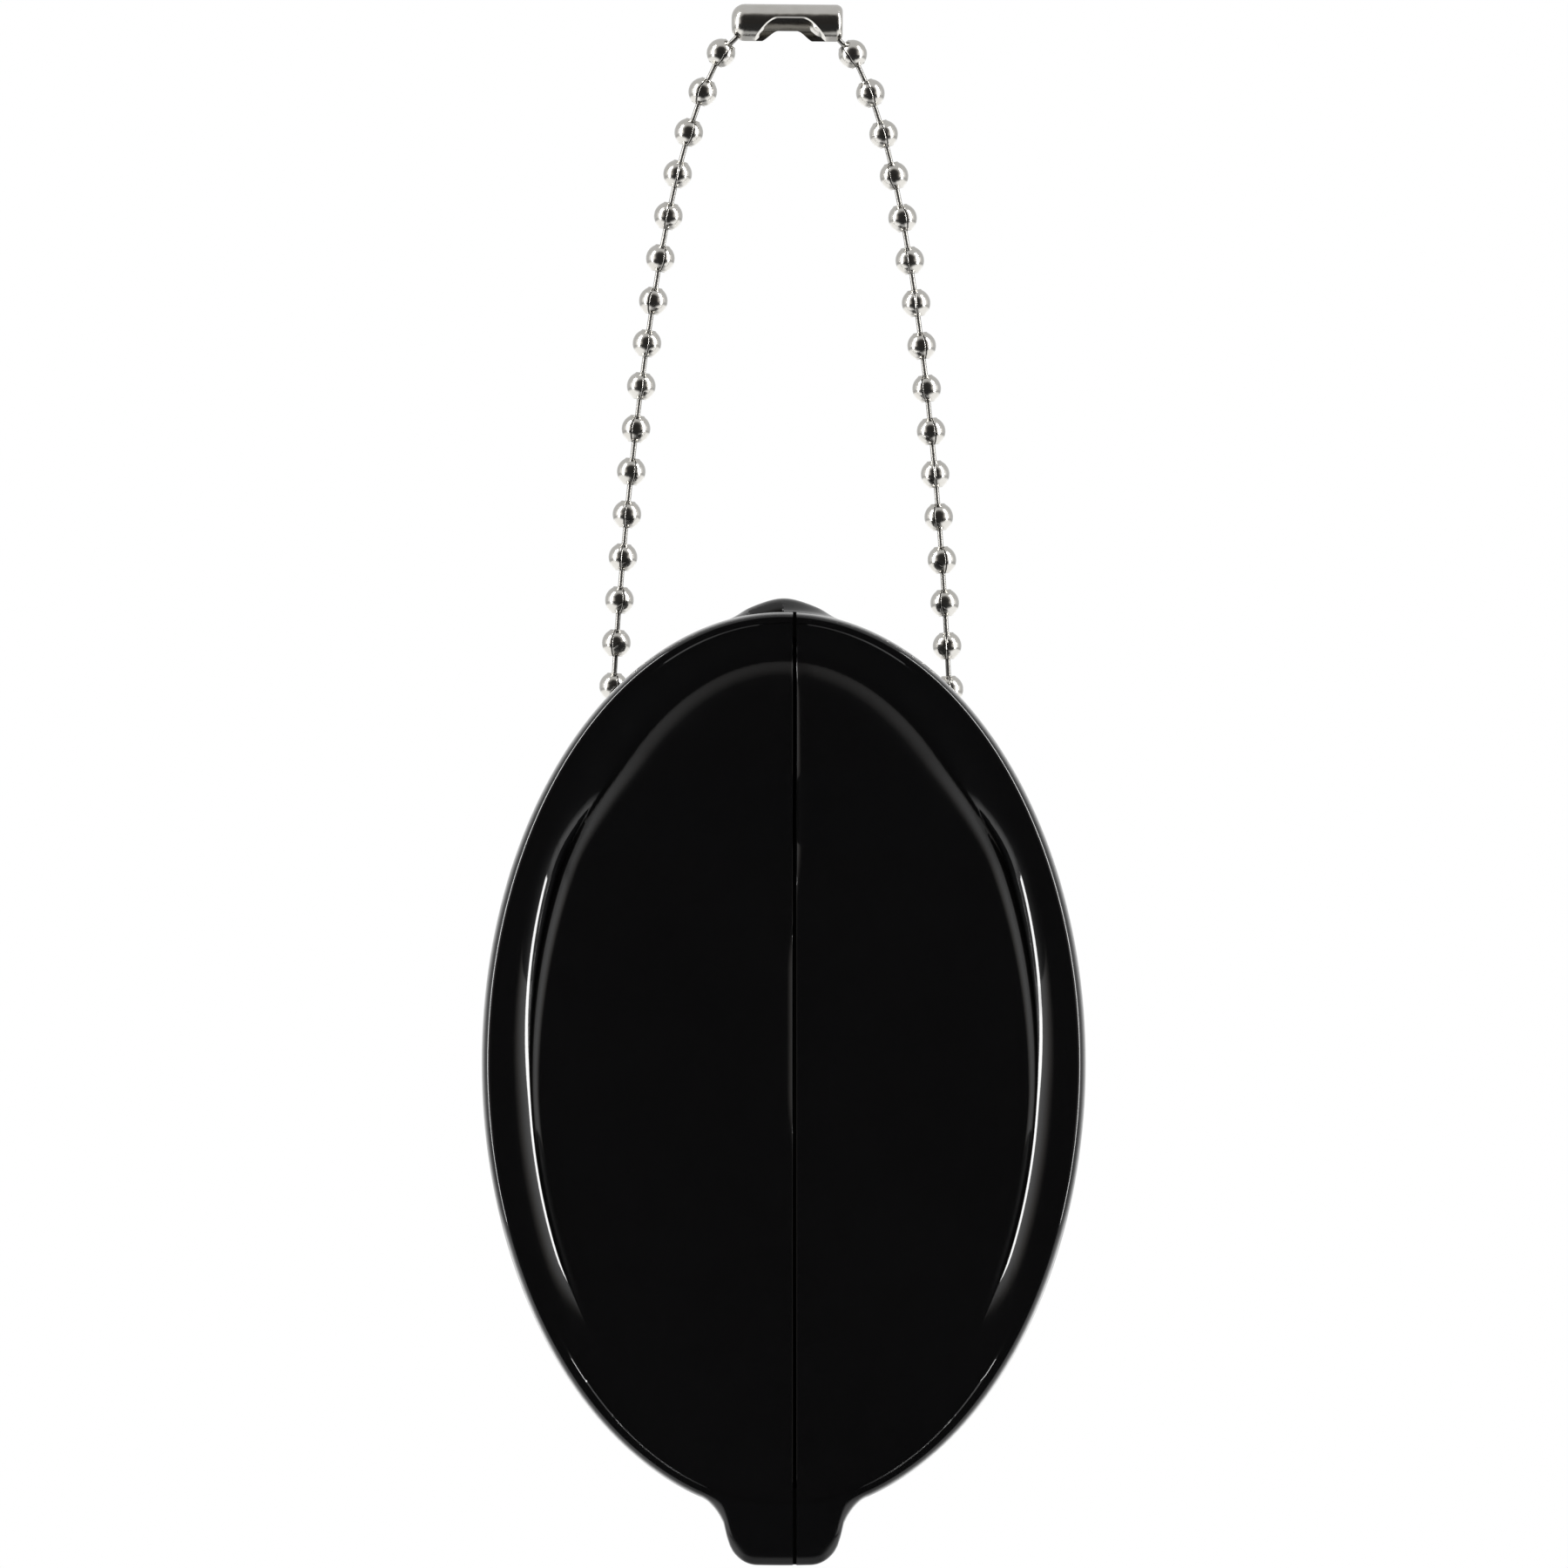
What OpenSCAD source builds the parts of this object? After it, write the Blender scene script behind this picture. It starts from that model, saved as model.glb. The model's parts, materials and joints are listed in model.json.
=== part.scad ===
// Squeeze coin purse on a ball chain, in millimetres.
// Z is up and the slit faces -Y. The origin is the hang point: the underside of the chain
// connector, in the plane of the chain. The purse hangs below it, in front of the chain.

/* [Purse] */
// Width of the oval across its sides
purse_w = 49.8; // [46:0.2:56]
// Length of the oval without the neck
purse_l = 74.4; // [70:0.2:82]
// How far the domed back stands behind the widest outline
back_depth = 9; // [8:0.1:11]
// How far the crest of the front rim stands before the widest outline
rim_height = 4.6; // [4.2:0.1:6]
// Width of the rolled rim at the sides
rim_w_side = 4.1; // [3.4:0.1:5]
// Width of the rolled rim at the two ends
rim_w_end = 2.7; // [2.4:0.1:4]
// How far the crease lies behind the crest of the rim
crease_drop = 1.3; // [0.8:0.1:1.8]
// How far the panels rise again from the crease
panel_rise = 0.8; // [0.4:0.1:1.2]
// Width of the rounded shoulder along the crease
shoulder_w = 1.9; // [1.2:0.1:3]
// How far the panels are dished towards the slit
panel_dish = 0.4; // [0.1:0.1:0.8]
// Thickness of the moulded vinyl
wall = 2; // [1.6:0.1:2.4]

/* [Slit] */
// Place of the slit right of the middle
slit_x = 0.9; // [0:0.1:2]
// Gap between the two cut faces
slit_gap = 0.3; // [0.2:0.05:0.5]
// Gap between the lips and the rim along the crease
crease_gap = 0.25; // [0.2:0.05:0.4]

/* [Neck] */
// Width of the neck at the bottom
neck_w = 9.3; // [8:0.1:11]
// Thickness of the neck, front to back
neck_t = 5; // [4:0.1:6]
// How far the neck reaches below the oval
neck_l = 4.3; // [3.6:0.1:6]
// Radius where the oval runs into the neck
neck_fillet = 4.1; // [3:0.1:5]
// Radius of the corners at the neck's end
neck_corner = 1.6; // [1:0.1:2]

/* [Chain eye] */
// Height of the eye above the middle of the oval
eye_z = 19.5; // [16:0.5:22]
// Bore that the chain runs through
eye_bore = 3.2; // [3:0.1:4]
// Vinyl around the bore
eye_wall = 1.6; // [1.2:0.1:2]
// How far the purse has slid along the chain towards the right
eye_slide = 0.3; // [-0.6:0.1:0.6]
// Gap between the back of the purse and the beads in the eye
eye_seat = 0.35; // [0.2:0.05:0.8]
// How far the top of the eye's ridge stands above the oval
hump_rise = 1.15; // [0.6:0.05:2]
// Half the width of the hump where it meets the oval
hump_reach = 7.6; // [6:0.1:9]

/* [Ball chain] */
// Diameter of a bead
bead_d = 2.37; // [2.2:0.01:2.6]
// Sheet thickness of a bead
bead_wall = 0.235; // [0.2:0.005:0.28]
// Distance from bead to bead
pitch = 3.56; // [3.4:0.01:3.8]
// Diameter of the link wire
wire_d = 0.42; // [0.36:0.01:0.46]
// Diameter of the peened heads of a link
head_d = 0.92; // [0.9:0.01:0.94]
// Diameter of the holes in a bead
bead_hole = 0.88; // [0.84:0.01:0.9]
// Distance from the middle of a bead to the head of a link inside it
head_seat = 0.49; // [0.48:0.01:0.5]
// Pairs of beads from the connector down to where the purse hides them
rows_seen = 16; // [14:1:17]
// Radius of the bight behind the purse
bight_r = 14.1; // [13:0.1:15]
// Slope of the strands beside the connector, in degrees from upright
strand_slope = 10.4; // [8:0.1:11]
// Extra slope of the first link, which fades down the strand
strand_flare = 14.3; // [12:0.5:18]
// What each link keeps of the flare of the link above it
flare_keep = 0.6; // [0.5:0.01:0.7]
// Lean of the whole loop towards the right, in degrees
loop_lean = 0.5; // [0:0.1:1.5]

/* [Connector] */
// Length of the connector
conn_l = 9.2; // [8.8:0.1:10]
// Outer diameter of the connector
conn_d = 3.1; // [3:0.05:3.4]
// Sheet thickness of the connector
conn_wall = 0.3; // [0.25:0.01:0.34]
// Radius of the connector's end corners
conn_corner = 0.6; // [0.4:0.05:0.9]
// Gap between an end bead and the end wall
conn_seat = 0.18; // [0.1:0.02:0.3]
// Slot that a link slides along
link_slot = 0.72; // [0.6:0.02:0.8]
// Radius of the scallop in the walls
scallop_r = 2; // [1.6:0.1:2.4]
// Top of the front scallop above the connector's axis
scallop_front = 0.45; // [0:0.05:0.7]
// Top of the back scallop below the connector's axis
scallop_back = 0.8; // [0.5:0.05:1.1]

/* [Hidden] */
$fn = 48;
eps = 0.01;
far = 60;
sides = 72;
bight_rows = 5;
rows = rows_seen + bight_rows;

// Half sizes of the oval and of the crease
half_w = purse_w / 2;
half_l = purse_l / 2;
crease_w = half_w - rim_w_side;
crease_l = half_l - rim_w_end;
crease_h = rim_height - crease_drop;
panel_h = crease_h + panel_rise;
back_power = 2.5;
front_power = 4;

// The bight is a half circle of hidden beads, and its step is the angle from bead to bead.
step = 2 * asin(pitch / (2 * bight_r));
function bight_angle(row) = (rows - row + 0.5) * step;

// Slope of the link below a row, in degrees from upright
slope_rows = rows_seen + 4;
function slope(row) = strand_slope * (1 - (row - 1) / slope_rows)
    + strand_flare * pow(flare_keep, row - 1);

// Half width of the loop at a row, and the row's height above the lowest beads
end_bead_x = conn_l / 2 - conn_wall - conn_seat - bead_d / 2;
function row_x(row) =
    row == 0 ? end_bead_x :
    row >= rows_seen ? bight_r * sin(bight_angle(row)) :
    row_x(row + 1) - pitch * sin(slope(row));
function rise(row) =
    row >= rows_seen ? bight_r * (cos(step / 2) - cos(bight_angle(row))) :
    row == 0 ? rise(1) + sqrt(pow(pitch, 2) - pow(row_x(1) - row_x(0), 2)) :
    rise(row + 1) + pitch * cos(slope(row));

// Heights in the loop's own frame, where the connector's underside is at zero
axis_z = conn_d / 2;
slot_h = conn_d + head_seat / 2;
function row_z(row) = axis_z + rise(row) - rise(0);
eye_drop = rise(0) - axis_z;

// The purse hangs by its eye on the lowest beads, which the lean moves aside.
eye_y = back_depth * pow(1 - pow(eye_z / half_l, back_power), 1 / back_power)
    + eye_seat + bead_d / 2;
purse_at = [eye_slide - eye_drop * sin(loop_lean), -eye_y, -eye_drop * cos(loop_lean) - eye_z];
eye_r = eye_bore / 2 + eye_wall;

function row_name(row) = str(row < 10 ? "0" : "", row);

// One ring of an oval skin: half width, half length and depth
function ring(w, l, y) =
    [for (i = [0 : sides - 1]) let (turn = 360 * i / sides) [w * sin(turn), y, l * cos(turn)]];

// A closed skin through rings from its back point to its front point
module skin(back_y, rings, front_y) {
    count = len(rings);
    points = concat([[0, back_y, 0]], [for (r = rings) each r], [[0, front_y, 0]]);
    last = len(points) - 1;
    polyhedron(points = points, faces = concat(
        [for (i = [0 : sides - 1]) [0, 1 + (i + 1) % sides, 1 + i]],
        [for (r = [0 : count - 2], i = [0 : sides - 1], half = [0, 1])
            let (a = 1 + r * sides + i, b = 1 + r * sides + (i + 1) % sides)
            half == 0 ? [a, b, a + sides] : [b, b + sides, a + sides]],
        [for (i = [0 : sides - 1])
            [last, last - sides + i, last - sides + (i + 1) % sides]]
    ));
}

// A dome of a given depth: share of its half sizes, to depth
function dome(share, depth, power) = depth * pow(1 - pow(share, power), 1 / power);
dome_shares = [0.22, 0.42, 0.58, 0.71, 0.81, 0.89, 0.945, 0.98, 0.995];

// Outer form: domed back, rolled rim, crease, rounded shoulder and dished panel
module purse_form() {
    skin(back_depth, concat(
        [for (k = dome_shares) ring(half_w * k, half_l * k, dome(k, back_depth, back_power))],
        [for (turn = [0 : 18 : 180])
            let (t = (1 - cos(turn)) / 2, base = turn > 90 ? crease_h : 0)
            ring(half_w - rim_w_side * t, half_l - rim_w_end * t,
                -base - (rim_height - base) * sin(turn))],
        [for (turn = [30 : 30 : 90])
            let (t = 1 - cos(turn))
            ring(crease_w - shoulder_w * t, crease_l - shoulder_w * t,
                -crease_h - panel_rise * sin(turn))],
        [for (k = [0.7, 0.35])
            ring((crease_w - shoulder_w) * k, (crease_l - shoulder_w) * k,
                -panel_h + panel_dish * (1 - k * k))]
    ), -panel_h + panel_dish);
}

// The hollow inside, one wall smaller than the form
module hollow() {
    w = half_w - wall;
    l = half_l - wall;
    skin(back_depth - wall, concat(
        [for (k = [0.3, 0.55, 0.74, 0.87, 0.95, 1])
            ring(w * k, l * k, dome(k, back_depth - wall, back_power))],
        [for (k = [0.97, 0.9, 0.8, 0.6])
            ring(w * k, l * k, -dome(k, panel_h - wall, front_power))]
    ), wall - panel_h + panel_dish);
}

// A straight oval column through the front, at the crease
module crease_column(gap) {
    rotate([90, 0, 0]) linear_extrude(far)
        polygon([for (i = [0 : sides - 1]) let (turn = 360 * (i + 0.5) / sides)
            [(crease_w + gap) * sin(turn), (crease_l + gap) * cos(turn)]]);
}
function column_w(gap) = (crease_w + gap) * cos(180 / sides);

// Half section of the neck: rounded end, straight side and the fillet up into the oval
function neck_section() = let (
    r = neck_w / 2,
    end = -half_l - neck_l,
    fillet_z = end + neck_corner + 0.3,
    top = fillet_z + neck_fillet * sin(72)
) concat(
    [[0, end]],
    [for (turn = [0 : 22.5 : 90])
        [r - neck_corner * (1 - sin(turn)), end + neck_corner * (1 - cos(turn))]],
    [for (turn = [0 : 12 : 72])
        [r + neck_fillet * (1 - cos(turn)), fillet_z + neck_fillet * sin(turn)]],
    [[r, top + neck_fillet / 2], [0, top + neck_fillet / 2]]
);

// The neck is oval in section, as thick as neck_t.
module neck() {
    scale([1, neck_t / neck_w, 1]) rotate_extrude($fn = 40) polygon(neck_section());
}

// A ball of the ridge that carries the eye
module knob(at, r) {
    translate(at) sphere(r, $fn = 20);
}

// The ridge runs from the hump at the top over the eye and sinks into the back.
module ridge() {
    top_r = 1.9;
    top = [0, top_r + 0.4, half_l + hump_rise - top_r];
    eye = [0, eye_y, eye_z];
    tail = [0, eye_y - 4, eye_z - 9];
    hull() {
        knob(top, top_r);
        knob(eye, eye_r);
    }
    hull() {
        knob(eye, eye_r);
        knob(tail, eye_r * 0.8);
    }
    hull() {
        knob(top, top_r);
        for (side = [-1, 1])
            knob([side * (hump_reach - 1.5), 2.2, half_l - 3.7], 1.5);
    }
}

// The body of the purse: back, rim, neck and ridge in one moulding
module shell_mesh() {
    resize([purse_w, 0, 0]) difference() {
        union() {
            purse_form();
            neck();
            ridge();
        }
        hollow();
        crease_column(crease_gap / 2);
        translate([slit_x - slit_gap / 2, -far, -far]) cube([slit_gap, far, 2 * far]);
    }
}

module purse_shell() {
    color("#111111") translate(purse_at) difference() {
        shell_mesh();
        translate([0, eye_y, eye_z]) rotate([0, 90, 0])
            cylinder(d = eye_bore, h = 4 * eye_r, center = true);
    }
}

// One front panel, from the crease to the slit
module lip(side) {
    inner = slit_x + side * slit_gap / 2;
    color("#111111") translate(purse_at) resize([column_w(-crease_gap / 2) - side * inner, 0, 0])
    difference() {
        intersection() {
            purse_form();
            crease_column(-crease_gap / 2);
            translate([side > 0 ? inner : inner - far, -far, -far]) cube([far, far, 2 * far]);
        }
        hollow();
    }
}

module left_lip() {
    lip(-1);
}

module right_lip() {
    lip(1);
}

// Turns the loop's parts by its lean about the hang point
module loop_frame() {
    rotate([0, loop_lean, 0]) children();
}

// Where a bead's middle lies, on the left (-1) or the right (1)
function bead_at(row, side) = [side * row_x(row), 0, row_z(row)];

// Turns the Z axis onto the line from one point of the loop to another
module along(from, to) {
    way = to - from;
    translate(from) rotate([0, atan2(way.x, way.z), 0]) children();
}

// A hollow bead with a hole towards each neighbour it is linked to
module bead(at, neighbours) {
    color("#c9cbcd") difference() {
        translate(at) sphere(d = bead_d);
        translate(at) sphere(d = bead_d - 2 * bead_wall);
        for (next = neighbours)
            along(at, next) cylinder(d = bead_hole, h = bead_d);
    }
}

// A link: a wire between two beads with a peened head inside each
module link(from, to) {
    length = norm(to - from) - 2 * head_seat;
    color("#8f9194") along(from, to) translate([0, 0, head_seat]) {
        cylinder(d = wire_d, h = length);
        sphere(d = head_d);
        translate([0, 0, length]) sphere(d = head_d);
    }
}

module beads_row(row) {
    loop_frame() for (side = [-1, 1])
        bead(bead_at(row, side), [
            bead_at(row - 1, side),
            row == rows ? bead_at(row, -side) : bead_at(row + 1, side)
        ]);
}

// The two links that hang a row from the row above it
module links_row(row) {
    loop_frame() for (side = [-1, 1])
        link(bead_at(row - 1, side), bead_at(row, side));
}

module centre_link() {
    loop_frame() link(bead_at(rows, -1), bead_at(rows, 1));
}

// The last bead at each end of the chain, snapped into the connector
module connector_beads() {
    loop_frame() for (side = [-1, 1])
        bead(bead_at(0, side), [bead_at(1, side)]);
}

// A round can along X with rounded end corners, its seam turned clear of the cuts
module can(r, half, corner) {
    rotate([37, 0, 0]) rotate([0, 90, 0]) rotate_extrude() polygon(concat(
        [[0, -half]],
        [for (turn = [0 : 15 : 90])
            [r - corner * (1 - sin(turn)), corner * (1 - cos(turn)) - half]],
        [for (turn = [0 : 15 : 90])
            [r - corner * (1 - cos(turn)), half - corner * (1 - sin(turn))]],
        [[0, half]]
    ));
}

// A scallop through one wall of the connector: top edge at height z
module scallop(z, side) {
    translate([0, side > 0 ? 0 : -conn_d, z - scallop_r]) rotate([-90, 0, 0])
        cylinder(r = scallop_r, h = conn_d);
}

// A rolled sleeve with a cup for each end bead, open below and scalloped in the middle
module connector() {
    color("#d4d6d8") loop_frame() translate([0, 0, axis_z]) difference() {
        can(conn_d / 2, conn_l / 2, conn_corner);
        can(conn_d / 2 - conn_wall, conn_l / 2 - conn_wall, conn_corner / 2);
        scallop(scallop_front, -1);
        scallop(-scallop_back, 1);
        translate([-conn_l, -link_slot / 2, -conn_d]) cube([2 * conn_l, link_slot, slot_h]);
    }
}

purse_shell();
left_lip();
right_lip();
connector();
connector_beads();
centre_link();
for (row = [1 : rows]) {
    beads_row(row);
    links_row(row);
}
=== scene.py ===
import json
import math
import bmesh
import bpy
from bpy.props import FloatProperty, FloatVectorProperty, PointerProperty
from mathutils import Matrix, Vector
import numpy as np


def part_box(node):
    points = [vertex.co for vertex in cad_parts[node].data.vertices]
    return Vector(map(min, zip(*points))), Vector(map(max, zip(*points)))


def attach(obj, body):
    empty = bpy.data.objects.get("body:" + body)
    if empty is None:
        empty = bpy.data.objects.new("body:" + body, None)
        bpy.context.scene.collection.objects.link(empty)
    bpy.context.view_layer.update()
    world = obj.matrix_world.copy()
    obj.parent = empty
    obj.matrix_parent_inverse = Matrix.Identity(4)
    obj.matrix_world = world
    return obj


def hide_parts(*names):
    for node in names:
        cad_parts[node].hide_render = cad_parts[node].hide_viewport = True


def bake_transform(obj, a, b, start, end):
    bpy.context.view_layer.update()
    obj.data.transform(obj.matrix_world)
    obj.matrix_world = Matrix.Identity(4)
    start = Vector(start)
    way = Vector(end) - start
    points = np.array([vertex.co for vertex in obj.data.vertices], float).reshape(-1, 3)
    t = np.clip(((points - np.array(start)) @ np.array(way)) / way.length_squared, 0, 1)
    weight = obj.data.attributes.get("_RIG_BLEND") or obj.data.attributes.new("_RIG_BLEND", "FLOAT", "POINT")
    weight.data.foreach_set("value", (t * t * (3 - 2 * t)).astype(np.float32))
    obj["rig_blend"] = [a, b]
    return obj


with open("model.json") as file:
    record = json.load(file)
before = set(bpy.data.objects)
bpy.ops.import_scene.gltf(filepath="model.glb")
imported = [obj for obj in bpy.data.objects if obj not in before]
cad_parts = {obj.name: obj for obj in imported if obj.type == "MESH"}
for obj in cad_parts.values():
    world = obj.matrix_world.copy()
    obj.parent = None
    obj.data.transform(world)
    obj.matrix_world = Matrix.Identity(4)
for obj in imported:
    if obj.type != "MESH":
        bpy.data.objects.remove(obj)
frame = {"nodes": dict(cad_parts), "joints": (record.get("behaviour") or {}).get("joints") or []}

bl_info = {
    "name": "Squeeze coin purse",
    "version": (1, 0, 0),
    "blender": (4, 5, 0),
    "location": "View3D > Sidebar > Coin Purse",
    "description": "Builds a moulded squeeze coin purse on a ball chain over its CAD frame",
    "category": "Add Mesh",
}

MM = 0.001
JOINTS = {joint["name"]: joint for joint in frame["joints"]}
ROWS = sum(name.startswith("row_") for name in JOINTS)
# The CAD turns the whole loop about the hang point, and every row's hinge axis turns with it.
LEAN = math.atan2(-JOINTS["row_01"]["axis"][2], JOINTS["row_01"]["axis"][0])
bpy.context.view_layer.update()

# The front's relief, beside the sizes that the settings hold
RIM_ROLL = 1.35 * MM
RIM_FLANK = 2.2 * MM
SHOULDER, SHOULDER_TOP = 0.75 * MM, 1.9 * MM
VALLEY_DEPTH, VALLEY_RISE = 1.0 * MM, 2.4 * MM
FOOT_DEPTH = 0.4 * MM
NECK_CORNER, NECK_FACE = 2.5 * MM, 1.3 * MM
EDGE_ROUND = 0.07 * MM

# The photograph is 1800 pixels square, with 13.9 pixels a millimetre at the chain.
PHOTO_SIZE, PHOTO_SCALE, HANG_PIXEL = 1800, 13.9, (903.4, 46.5)
CAMERA_DISTANCE = 3.0
FLOOR_LEVEL, FLOOR_RADIUS = -0.3, 2.2


def length(name, value, text, low=0.0):
    """A length setting, given in millimetres."""
    return FloatProperty(
        name=name, description=text, default=value * MM, min=low,
        precision=5, unit="LENGTH", subtype="DISTANCE",
    )


class PurseSettings(bpy.types.PropertyGroup):
    half_width: length("Half width", 24.9, "From the middle of the oval to its side")
    half_length: length("Half length", 37.2, "From the middle of the oval to its end")
    crease_width: length("Crease half width", 20.8, "From the middle to the crease at the side")
    crease_length: length("Crease half length", 34.5, "From the middle to the crease at the end")
    rim: length("Rim height", 4.6, "How far the rim stands before the widest outline")
    crease: length("Crease height", 3.3, "How far the crease lies before the widest outline")
    panel: length("Panel height", 4.1, "How far the panel's shoulder stands before the widest outline")
    dish: length("Dish", 0.4, "How far the panels are dished towards the slit")
    back: length("Back depth", 9.0, "How far the back stands behind the widest outline")
    wall: length("Wall", 2.0, "Thickness of the moulding")
    slit: length("Slit place", 0.9, "Place of the slit right of the middle")
    slit_gap: length("Slit gap", 0.3, "Gap between the two cut faces")
    neck_half: length("Neck half width", 4.66, "Half the width of the neck")
    neck_end: length("Neck end", 41.4, "From the middle of the oval to the neck's end")
    neck_fillet: length("Neck fillet", 4.5, "Radius between the neck and the oval")
    eye_height: length("Eye height", 19.5, "From the middle of the oval up to the eye")
    eye_depth: length("Eye depth", 9.77, "How far the eye's middle lies behind the widest outline")
    eye_bore: length("Eye bore", 1.5, "Radius of the bore that the chain runs through")
    ridge_half: length("Ridge", 3.2, "Half the ridge's width at the eye")
    colour: FloatVectorProperty(
        name="Vinyl colour", description="Colour of the vinyl", subtype="COLOR", size=3,
        default=(0.001, 0.001, 0.0011), min=0, max=1,
    )


class ChainSettings(bpy.types.PropertyGroup):
    bead: length("Bead radius", 1.185, "Radius of a bead")
    sheet: length("Bead sheet", 0.2, "Thickness of the rolled sheet")
    hole: length("Bead hole", 0.45, "Radius of the holes that the links pass through")
    collar: length("Collar radius", 0.6, "Radius of the collar round each hole")
    colour: FloatVectorProperty(
        name="Nickel colour", description="Colour of the plating", subtype="COLOR", size=3,
        default=(0.56, 0.549, 0.525), min=0, max=1,
    )


class ConnectorSettings(bpy.types.PropertyGroup):
    half: length("Half length", 4.6, "Half the connector's length")
    radius: length("Radius", 1.55, "Outer radius of the rolled sleeve")
    sheet: length("Sheet", 0.3, "Thickness of the sheet")
    slot: length("Slot", 0.72, "Width of the slot that the links slide along")
    front_arch: length("Front arch", 0.36, "Top of the arch in the front wall, over the axis", -1.0)
    back_arch: length("Back arch", -0.65, "Top of the arch in the back wall, over the axis", -1.0)


# Shader maths


class Shade:
    """A socket of a node tree, with Python's arithmetic on it."""

    def __init__(self, tree, socket):
        self.tree, self.socket = tree, socket

    def _math(self, operation, *values):
        node = self.tree.add("ShaderNodeMath", {"operation": operation}, dict(enumerate(values)))
        return Shade(self.tree, node.outputs[0])

    def __add__(self, other):
        return self._math("ADD", self, other)

    def __radd__(self, other):
        return self._math("ADD", other, self)

    def __sub__(self, other):
        return self._math("SUBTRACT", self, other)

    def __rsub__(self, other):
        return self._math("SUBTRACT", other, self)

    def __mul__(self, other):
        return self._math("MULTIPLY", self, other)

    def __rmul__(self, other):
        return self._math("MULTIPLY", other, self)

    def __pow__(self, other):
        return self._math("POWER", self, other)

    def between(self, low, high):
        """0 below low, 1 above high and smooth in between."""
        node = self.tree.add(
            "ShaderNodeMapRange", {"interpolation_type": "SMOOTHSTEP"},
            {0: self, 1: low, 2: high, 3: 0.0, 4: 1.0},
        )
        return Shade(self.tree, node.outputs[0])


class Tree:
    """A node tree that is built by calls."""

    def __init__(self, owner):
        owner.use_nodes = True
        self.nodes, self.links = owner.node_tree.nodes, owner.node_tree.links
        self.nodes.clear()

    def add(self, kind, settings=None, sockets=None):
        node = self.nodes.new(kind)
        for key, value in (settings or {}).items():
            setattr(node, key, value)
        for key, value in (sockets or {}).items():
            if isinstance(value, Shade):
                self.links.new(value.socket, node.inputs[key])
            elif isinstance(value, bpy.types.NodeSocket):
                self.links.new(value, node.inputs[key])
            else:
                node.inputs[key].default_value = value
        return node

    def value(self, kind, output=0, settings=None, sockets=None):
        return Shade(self, self.add(kind, settings, sockets).outputs[output])

    def object_position(self):
        return self.add("ShaderNodeTexCoord").outputs["Object"]

    def noise(self, scale, detail=3.0, roughness=0.5, stretch=None):
        place = self.object_position()
        if stretch:
            place = self.add("ShaderNodeMapping", {}, {"Vector": place, "Scale": stretch}).outputs[0]
        sockets = {"Vector": place, "Scale": scale, "Detail": detail, "Roughness": roughness}
        return self.value("ShaderNodeTexNoise", 0, {}, sockets)

    def mix(self, factor, first, second):
        first, second = ((*end, 1) if isinstance(end, tuple) else end for end in (first, second))
        return self.add("ShaderNodeMix", {"data_type": "RGBA"}, {0: factor, 6: first, 7: second}).outputs[2]

    def bump(self, height, distance, strength=1.0, normal=None):
        sockets = {"Height": height, "Distance": distance, "Strength": strength}
        if normal is not None:
            sockets["Normal"] = normal
        return self.add("ShaderNodeBump", {}, sockets).outputs[0]

    def surface(self, **sockets):
        sockets = {key.replace("_", " "): value for key, value in sockets.items()}
        shader = self.add("ShaderNodeBsdfPrincipled", {}, sockets)
        self.add("ShaderNodeOutputMaterial", {}, {"Surface": shader.outputs[0]})


def material(name):
    """A new material and its empty node tree."""
    made = bpy.data.materials.new(name)
    return made, Tree(made)


def vinyl_material(colour):
    """Glossy moulded vinyl, a little hazy, with faint scuffs along its length."""
    made, tree = material("moulded_vinyl")
    cloud = tree.noise(60.0, 2.0)
    haze = tree.noise(420.0, 4.0, 0.6)
    scuff = tree.noise(900.0, 3.0, 0.55, (1.0, 1.0, 0.12)).between(0.62, 0.74)
    body = tree.mix(cloud * 0.5 + haze * 0.3, tuple(colour), tuple(c * 2.2 for c in colour))
    wave = tree.bump(cloud, 0.00004)
    grain = tree.bump(haze, 0.000006, 1.0, wave)
    tree.surface(
        Base_Color=body, Roughness=0.24 + haze * 0.12 + scuff * 0.08, Specular_IOR_Level=0.05,
        Coat_Weight=0.9 - scuff * 0.3, Coat_Roughness=0.035, Coat_IOR=1.45, Normal=grain,
    )
    return made


def nickel_material(colour, name="nickel_plate", dull=0.0, seamed=False):
    """Bright plating, with the rolled seam on the beads, whose crack is painted near black as shade."""
    made, tree = material(name)
    cloud = tree.noise(900.0, 2.0)
    fine = tree.noise(5200.0, 3.0, 0.6)
    tint = tree.mix(cloud, tuple(colour), tuple(c * k for c, k in zip(colour, (0.86, 0.85, 0.82))))
    dent = tree.bump(cloud, 0.00003)
    if seamed:
        # Distance from the bead's rolled seam in millimetres
        place = tree.value("ShaderNodeAttribute", 2, {"attribute_name": "seam"})
        # Painted shade: the seam's crack is coloured near black for the shade in the gap between the rolled
        # edges; the bump gives its real dip.
        shaded_seam_groove = 1 - place.between(0.03, 0.09)
        tint = tree.mix(shaded_seam_groove, tint, (0.05, 0.048, 0.045))
        dent = tree.bump(1 - shaded_seam_groove, 0.00003, 1.0, dent)
    skin = tree.bump(fine, 0.0000025, 1.0, dent)
    tree.surface(Base_Color=tint, Metallic=1.0, Roughness=0.1 + dull + fine * 0.1 + cloud * 0.06, Normal=skin)
    return made


# Mesh helpers


def finish_piece(bm, name, body, paint, replaced, sharp=38.0):
    """Makes the object, shades it smooth with sharp edges past an angle, hides the parts it replaces, and
    rides it on its body.
    """
    mesh = bpy.data.meshes.new(name)
    bm.to_mesh(mesh)
    bm.free()
    piece = bpy.data.objects.new(name, mesh)
    bpy.context.scene.collection.objects.link(piece)
    mesh.materials.append(paint)
    mesh.shade_smooth()
    mesh.set_sharp_from_angle(angle=math.radians(sharp))
    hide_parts(*replaced)
    if body:
        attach(piece, body)
    return piece


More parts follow.
